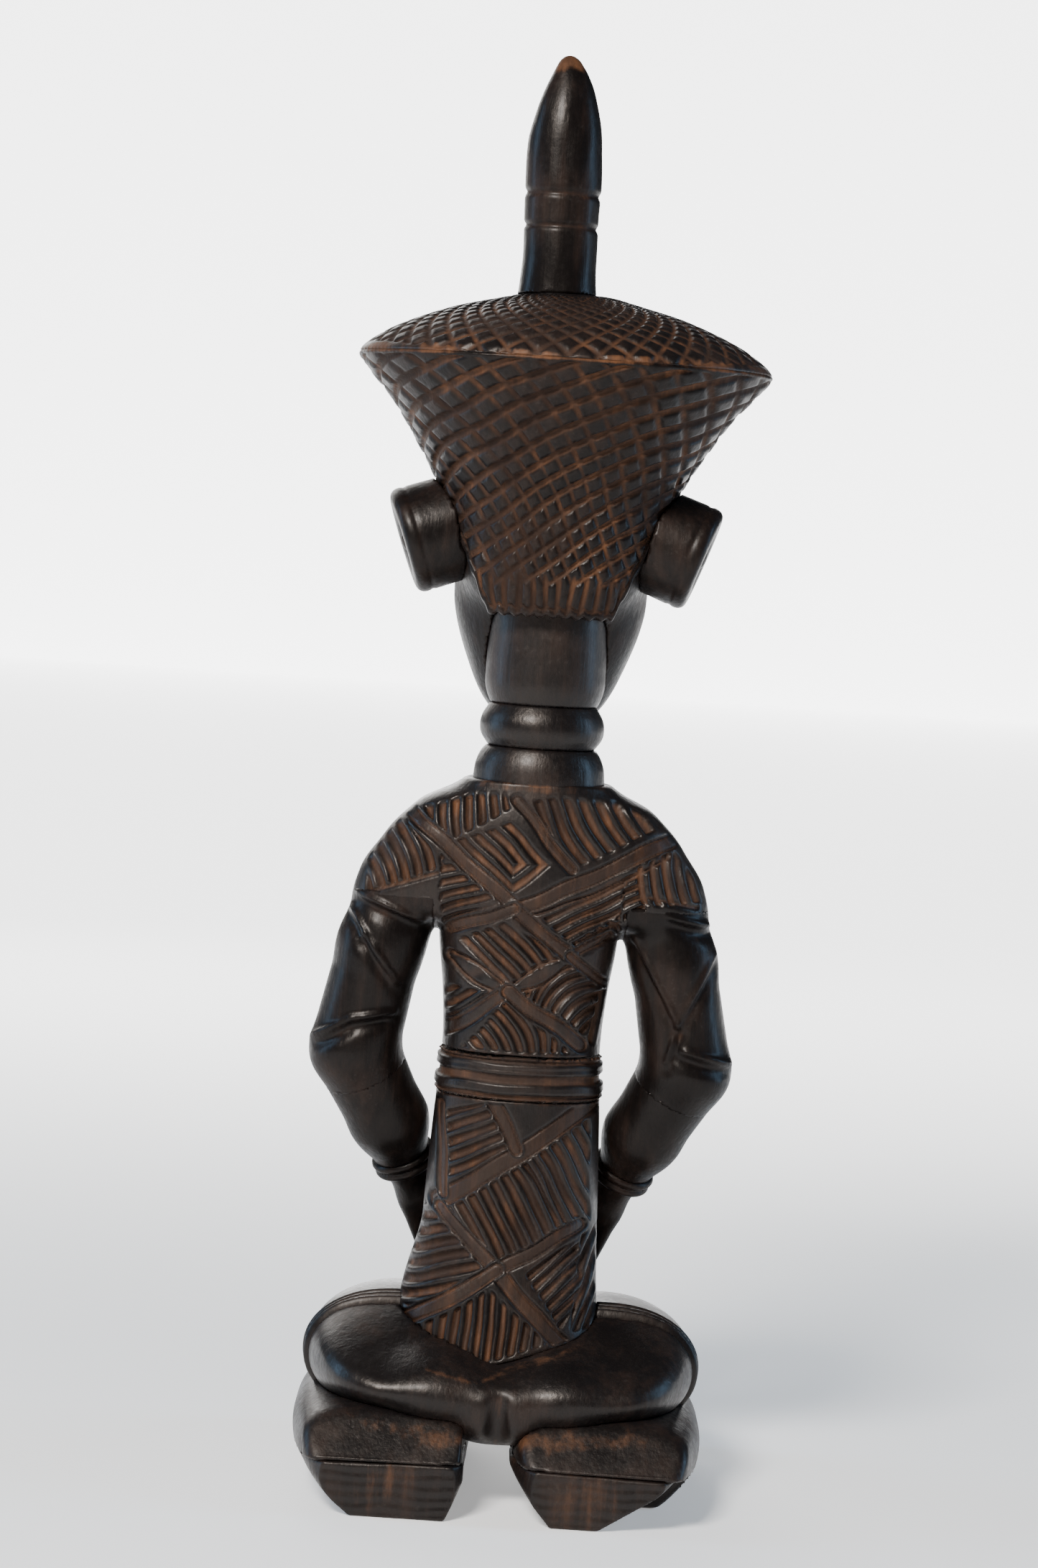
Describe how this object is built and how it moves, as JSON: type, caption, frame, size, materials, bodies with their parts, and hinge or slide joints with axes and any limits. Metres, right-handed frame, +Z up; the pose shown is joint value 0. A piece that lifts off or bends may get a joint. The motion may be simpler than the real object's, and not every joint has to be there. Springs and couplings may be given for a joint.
{
  "type": "kneeling ancestor figure",
  "caption": "Kneeling carved hardwood ancestor figure with a flared lattice coiffure, tall finial, ringed neck, scarified back and hands on the belly.",
  "frame": {"origin": "centre of the bounding box at ground level, under the kneeling legs", "axes": "+Z up; the figure faces -Y, its back is at +Y and its left side is at +X"},
  "size_m": [0.1492, 0.134, 0.5],
  "materials": {
    "hardwood": "dark oiled and waxed hardwood, satin, worn brown in the grooves"
  },
  "bodies": {
    "root": {"abdomen": "hardwood", "chest": "hardwood", "coiffure": "hardwood", "crown_dome": "hardwood", "head": "hardwood", "hips": "hardwood", "horn_finial": "hardwood", "left_ear": "hardwood", "left_foot": "hardwood", "left_forearm": "hardwood", "left_hand": "hardwood", "left_lower_leg": "hardwood", "left_thigh": "hardwood", "left_thigh_band": "hardwood", "left_upper_arm": "hardwood", "left_wristband": "hardwood", "neck_collar": "hardwood", "neck_middle_ring": "hardwood", "neck_upper_ring": "hardwood", "right_ear": "hardwood", "right_foot": "hardwood", "right_forearm": "hardwood", "right_hand": "hardwood", "right_lower_leg": "hardwood", "right_thigh": "hardwood", "right_thigh_band": "hardwood", "right_upper_arm": "hardwood", "right_wristband": "hardwood", "waist_belt": "hardwood"}
  },
  "joints": []
}
